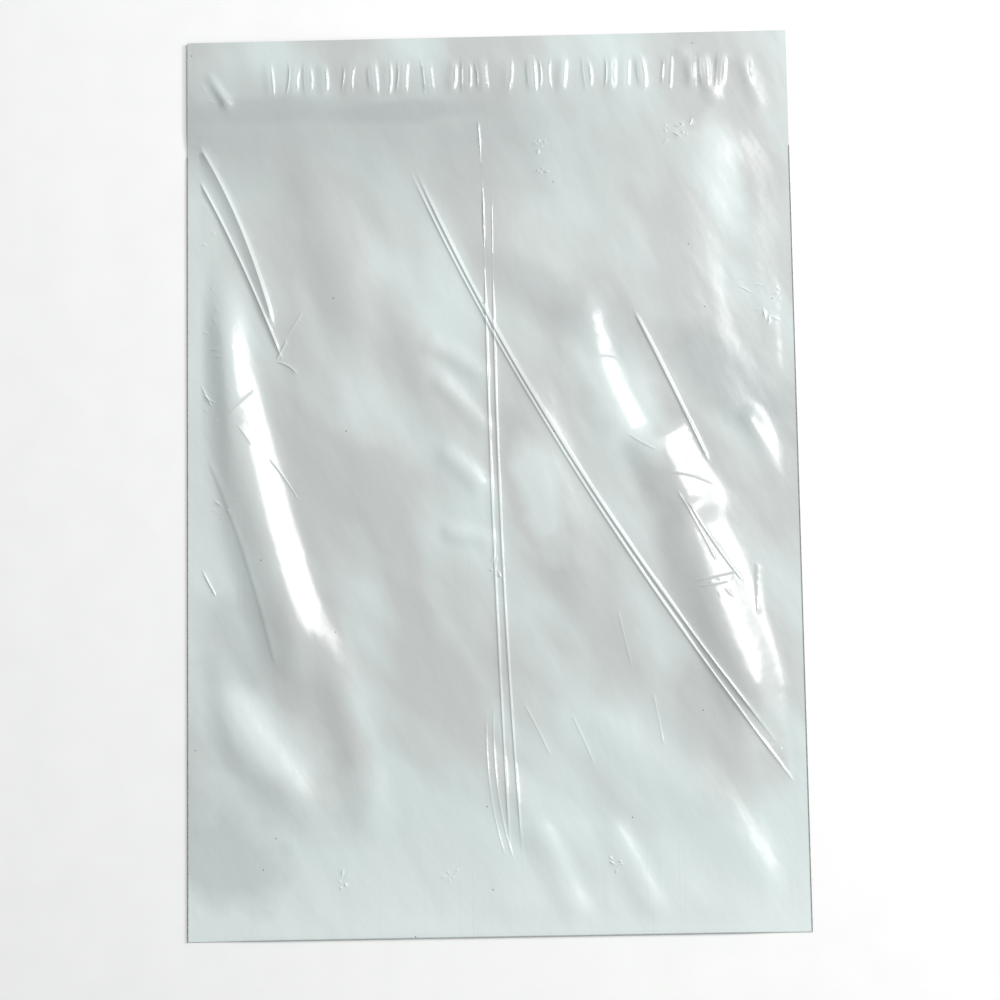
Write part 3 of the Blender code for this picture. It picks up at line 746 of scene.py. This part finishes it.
# Patches of the other matters: the noise between which their colours mix, the swing of their gloss, and the
# strength of their bumps
MIX_RANGE = (0.35, 0.65)
ROUGHNESS_SWING = 0.05
PATCH_STRENGTH = 0.4

# The floor, the studio's light and the camera
FLOOR_SIZE = 6.0
FLOOR_Z = -0.0002
WORLD_COLOUR = (0.96, 1.0, 1.0, 1.0)
WORLD_STRENGTH = 0.40
Panel = namedtuple("Panel", "name place size power")

PANELS = (
    Panel("key", (0.72, 0.50, 1.50), (0.52, 0.50), 12.2),
    Panel("broad", (0.95, 0.70, 1.40), (0.90, 1.20), 4.0),
    Panel("rake", (1.50, 0.60, 0.75), (0.60, 0.40), 21.0),
)
CAMERA_LENS = 137.7
CAMERA_SENSOR = 36.0
CAMERA_PLACE = (0.0369, -0.2991, 1.5585)
CAMERA_TURN = (0.18325, 0.02466, -0.01539)

# Where the mix node has its two colours and its result
MIX_LOW = 6
MIX_HIGH = 7
MIX_RESULT = 2


class Nodes:
    """A short way to write a material's nodes and links."""

    def __init__(self, name):
        self.material = bpy.data.materials.new(name)
        self.material.use_nodes = True
        self.tree = self.material.node_tree
        self.shader = self.tree.nodes["Principled BSDF"]

    def add(self, kind, inputs=(), **settings):
        node = self.tree.nodes.new(kind)
        for name, value in settings.items():
            setattr(node, name, value)
        for name, value in dict(inputs).items():
            self.set(node, name, value)
        return node

    def set(self, node, name, value):
        if isinstance(value, bpy.types.NodeSocket):
            self.tree.links.new(value, node.inputs[name])
        else:
            node.inputs[name].default_value = value

    def finish(self, **inputs):
        for name, value in inputs.items():
            self.set(self.shader, name.replace("_", " "), value)
        return self.material


def rgba(red, green, blue):
    return (red, green, blue, 1.0)


def noise_at(nodes, place, scale, detail, size=None, turn=0.0):
    """Noise with features about 1 / scale metres large. With a scale of 1, size says how long and wide they
    are, turned about Z."""
    if size:
        turned = {"Vector": place, "Rotation": (0, 0, turn), "Scale": (*size, 1)}
        place = nodes.add("ShaderNodeMapping", turned, vector_type="TEXTURE").outputs[0]
    return nodes.add("ShaderNodeTexNoise", {"Vector": place, "Scale": scale, "Detail": detail}).outputs["Fac"]


def mixed(nodes, share, low, high):
    """The two colours mixed by a share."""
    inputs = {"Factor": share, MIX_LOW: low, MIX_HIGH: high}
    return nodes.add("ShaderNodeMix", inputs, data_type="RGBA").outputs[MIX_RESULT]


def ranged(nodes, value, low, high, to_low=0.0, to_high=1.0):
    """The value's stretch from low to high, drawn out to another stretch and held at its ends."""
    inputs = {"Value": value, "From Min": low, "From Max": high, "To Min": to_low, "To Max": to_high}
    return nodes.add("ShaderNodeMapRange", inputs).outputs[0]


def swayed(nodes, clouds, place, sway=SHADE_SWAY):
    """A place along one axis, shifted a little by the clouds or another noise."""
    return nodes.add("ShaderNodeMath", {0: clouds, 1: sway, 2: place}, operation="MULTIPLY_ADD").outputs[0]


def product(nodes, first, *others):
    """The values multiplied together."""
    for other in others:
        first = nodes.add("ShaderNodeMath", {0: first, 1: other}, operation="MULTIPLY").outputs[0]
    return first


def with_field(nodes, place, sway, colour, field):
    """The colour with one soft field of painted shade or painted light over it. Noise makes its edge uneven.
    """
    turned = {
        "Vector": place,
        "Location": (*on_panel(field.middle), 0),
        "Rotation": (0, 0, math.radians(field.turn)),
        "Scale": (field.half_length, field.half_width, 1),
    }
    inner = nodes.add("ShaderNodeMapping", turned, vector_type="TEXTURE").outputs[0]
    flat = nodes.add("ShaderNodeVectorMath", {0: inner, 1: (1, 1, 0)}, operation="MULTIPLY").outputs[0]
    reach = nodes.add("ShaderNodeVectorMath", {0: flat}, operation="LENGTH").outputs["Value"]
    uneven = swayed(nodes, sway, reach, FIELD_SWAY)
    inside = ranged(nodes, uneven, 1 + FIELD_SWAY / 2, FIELD_FULL + FIELD_SWAY / 2, 0.0, field.share)
    return mixed(nodes, inside, colour, FILM_LINES_AND_SHADE if field.dark else FILM_PAINTED_LIGHT)


def clouded(nodes, clouds, height):
    """Pale grey with bluish clouds along the diagonal, and bluish and paler towards the bottom as a painted
    reflection.
    """
    # Towards the bottom the film turns bluish and paler: a painted reflection. The clouds are the film's own
    # uneven tone.
    low = ranged(nodes, height, BLUISH_FROM, BLUISH_FULL)
    cloudy = ranged(nodes, clouds, CLOUD_FROM, CLOUD_FULL)
    bluish = nodes.add("ShaderNodeMath", {0: low, 1: cloudy}, operation="ADD", use_clamp=True).outputs[0]
    colour = mixed(nodes, bluish, FILM_GREY, FILM_BLUISH)
    pale = ranged(nodes, swayed(nodes, clouds, height, PALE_SWAY), PALE_FROM, PALE_FULL)
    return mixed(nodes, pale, colour, FILM_PAINTED_LIGHT)


def shaded(nodes, place, clouds, across, height, colour):
    """The colour with the back panel's painted shade and painted light: the greyer band of painted shade, the
    paler left edge of painted light, and the soft fields of both.
    """
    # Painted shade: a greyer band below the strip of glue, fading towards the right.
    below = ranged(nodes, swayed(nodes, clouds, height), SHADE_END, SHADE_MIDDLE)
    above = ranged(nodes, height, SHADE_TOP, SHADE_MIDDLE)
    shade = product(nodes, below, above, ranged(nodes, across, SHADE_RIGHT, SHADE_FULL, 0.0, SHADE_SHARE))
    colour = mixed(nodes, shade, colour, FILM_LINES_AND_SHADE)
    # Painted light: paler film along the left edge.
    edge = ranged(nodes, swayed(nodes, clouds, across), EDGE_FROM, EDGE_FULL, 0.0, EDGE_SHARE)
    lower = ranged(nodes, height, EDGE_LOW, EDGE_HIGH)
    upper = ranged(nodes, height, EDGE_TOP, EDGE_UPPER)
    colour = mixed(nodes, product(nodes, edge, lower, upper), colour, FILM_PAINTED_LIGHT)
    # Soft fields of painted shade and painted light.
    sway = noise_at(nodes, place, FIELD_SCALE, NOISE_DETAIL)
    for field in LIGHT_AND_SHADE_FIELDS:
        colour = with_field(nodes, place, sway, colour, field)
    return colour


def specked(nodes, place, colour):
    """The colour with a few fine dark specks."""
    inputs = {"Vector": place, "Scale": 1 / SPECK_SPACING}
    cells = nodes.add("ShaderNodeTexVoronoi", inputs, voronoi_dimensions="2D")
    rim = SPECK_RADIUS / SPECK_SPACING
    speck = ranged(nodes, cells.outputs["Distance"], rim, SPECK_CORE * SPECK_RADIUS / SPECK_SPACING)
    chosen = nodes.add("ShaderNodeSeparateColor", {0: cells.outputs["Color"]}).outputs[0]
    kept = nodes.add("ShaderNodeMath", {0: chosen, 1: 1 - SPECK_SHARE}, operation="GREATER_THAN").outputs[0]
    return mixed(nodes, product(nodes, speck, kept), colour, SPECK_COLOUR)


def bumped(nodes, height, strength, rise, below=None):
    """The normal of a surface with bumps. With below given, they lie on the bumps of that normal."""
    bump = nodes.add("ShaderNodeBump", {"Height": height, "Strength": strength, "Distance": rise})
    if below:
        nodes.set(bump, "Normal", below)
    return bump.outputs[0]


def film_outside():
    """Pale grey film with clouds, a painted reflection that makes it paler and bluish towards the bottom, the
    back panel's painted shade and painted light, fine lines from its making, specks and a slightly uneven
    gloss. The front panel, which lies below, has the clouds and the painted reflection but none of the back
    panel's painted shade and light."""
    nodes = Nodes("film_outside")
    place = nodes.add("ShaderNodeTexCoord").outputs["Object"]
    clouds = noise_at(nodes, place, 1.0, CLOUD_DETAIL, CLOUD_SIZE, WAVE_TURN)
    parts = nodes.add("ShaderNodeSeparateXYZ", {0: place})
    across, height = parts.outputs["X"], parts.outputs["Y"]
    plain = clouded(nodes, clouds, height)
    # Painted shade and painted light go on the back panel only.
    painted_light_and_shade = shaded(nodes, place, clouds, across, height, plain)
    colour = mixed(nodes, ranged(nodes, parts.outputs["Z"], FILM, LOW_Z + WELD_GAP), plain, painted_light_and_shade)
    lines = noise_at(nodes, place, 1.0, SOFT_DETAIL, LINE_SIZE)
    colour = mixed(nodes, ranged(nodes, lines, LINE_FROM, LINE_FULL, 0.0, LINE_SHARE), colour, FILM_LINES_AND_SHADE)
    colour = specked(nodes, place, colour)
    gloss = noise_at(nodes, place, GLOSS_SCALE, NOISE_DETAIL)
    rough = ranged(nodes, gloss, *NOISE_RANGE, *GLOSS_ROUGHNESS)
    grain = bumped(nodes, noise_at(nodes, place, GRAIN_SCALE, NOISE_DETAIL), GRAIN_STRENGTH, GRAIN_HEIGHT)
    uneven = noise_at(nodes, place, 1.0, SOFT_DETAIL, UNEVEN_SIZE, WAVE_TURN)
    soft = bumped(nodes, uneven, UNEVEN_STRENGTH, UNEVEN_HEIGHT, grain)
    drawn = bumped(nodes, lines, LINE_STRENGTH, LINE_HEIGHT, soft)
    return nodes.finish(Base_Color=colour, Roughness=rough, Normal=drawn)


def mottled(name, low, high, size, roughness, rise):
    """A matter with soft patches of two colours, as long and wide as size says, that differ a little in gloss
    and height."""
    nodes = Nodes(name)
    place = nodes.add("ShaderNodeTexCoord").outputs["Object"]
    patches = noise_at(nodes, place, 1.0, NOISE_DETAIL, size)
    colour = mixed(nodes, ranged(nodes, patches, *MIX_RANGE), low, high)
    rough = ranged(nodes, patches, *NOISE_RANGE, roughness - ROUGHNESS_SWING, roughness + ROUGHNESS_SWING)
    normal = bumped(nodes, patches, PATCH_STRENGTH, rise)
    return nodes.finish(Base_Color=colour, Roughness=rough, Normal=normal)


def film_inside():
    low, high = rgba(0.050, 0.055, 0.060), rgba(0.080, 0.085, 0.090)
    return mottled("film_inside", low, high, size=(0.0012, 0.040), roughness=0.35, rise=0.00005)


def weld_bead():
    low, high = rgba(0.16, 0.17, 0.17), rgba(0.30, 0.31, 0.31)
    return mottled("weld_bead", low, high, size=(0.004, 0.0012), roughness=0.40, rise=0.00005)


def glue():
    low, high = rgba(0.68, 0.66, 0.54), rgba(0.76, 0.74, 0.66)
    return mottled("glue", low, high, size=(0.006, 0.002), roughness=0.40, rise=0.00008)


def liner():
    low, high = rgba(0.70, 0.72, 0.73), rgba(0.78, 0.80, 0.81)
    return mottled("liner", low, high, size=(0.030, 0.0015), roughness=0.30, rise=0.00004)


def give_material(node, material):
    """Gives the material to a node of the CAD model that is shown as it is."""
    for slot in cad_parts[node].material_slots:
        slot.material = material


def add_floor():
    bpy.ops.mesh.primitive_plane_add(size=FLOOR_SIZE, location=(0, 0, FLOOR_Z))
    floor = bpy.context.object
    floor.name = "floor"
    matter = mottled("floor", FLOOR_LOW, FLOOR_HIGH, size=(0.02, 0.02), roughness=0.85, rise=0.00003)
    floor.data.materials.append(matter)
    floor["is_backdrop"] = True


def add_panel(panel):
    """A rectangular soft light that faces the middle of the bag."""
    data = bpy.data.lights.new(panel.name, "AREA")
    data.shape = "RECTANGLE"
    data.size, data.size_y = panel.size
    data.energy = panel.power
    light = bpy.data.objects.new(panel.name, data)
    bpy.context.scene.collection.objects.link(light)
    light.location = panel.place
    light.rotation_euler = (-Vector(panel.place)).to_track_quat("-Z", "Y").to_euler()


def add_lights():
    world = bpy.data.worlds.new("studio")
    world.use_nodes = True
    background = world.node_tree.nodes["Background"]
    background.inputs["Color"].default_value = WORLD_COLOUR
    background.inputs["Strength"].default_value = WORLD_STRENGTH
    bpy.context.scene.world = world
    for panel in PANELS:
        add_panel(panel)


def add_camera():
    data = bpy.data.cameras.new("camera")
    data.lens = CAMERA_LENS
    data.sensor_width = CAMERA_SENSOR
    camera = bpy.data.objects.new("camera", data)
    camera.location = CAMERA_PLACE
    camera.rotation_euler = CAMERA_TURN
    bpy.context.scene.collection.objects.link(camera)
    bpy.context.scene.camera = camera


film = fine_film(film_outside(), film_inside(), weld_bead())
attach(film, "root")
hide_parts("mailer_film")
give_material("glue_strip", glue())
give_material("release_liner", liner())
add_floor()
add_lights()
add_camera()
bpy.context.scene.view_settings.view_transform = "Standard"

boxes = {"cad": CAD_BOX, "visual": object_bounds()}
{name: [list(corner) for corner in box] for name, box in boxes.items()}
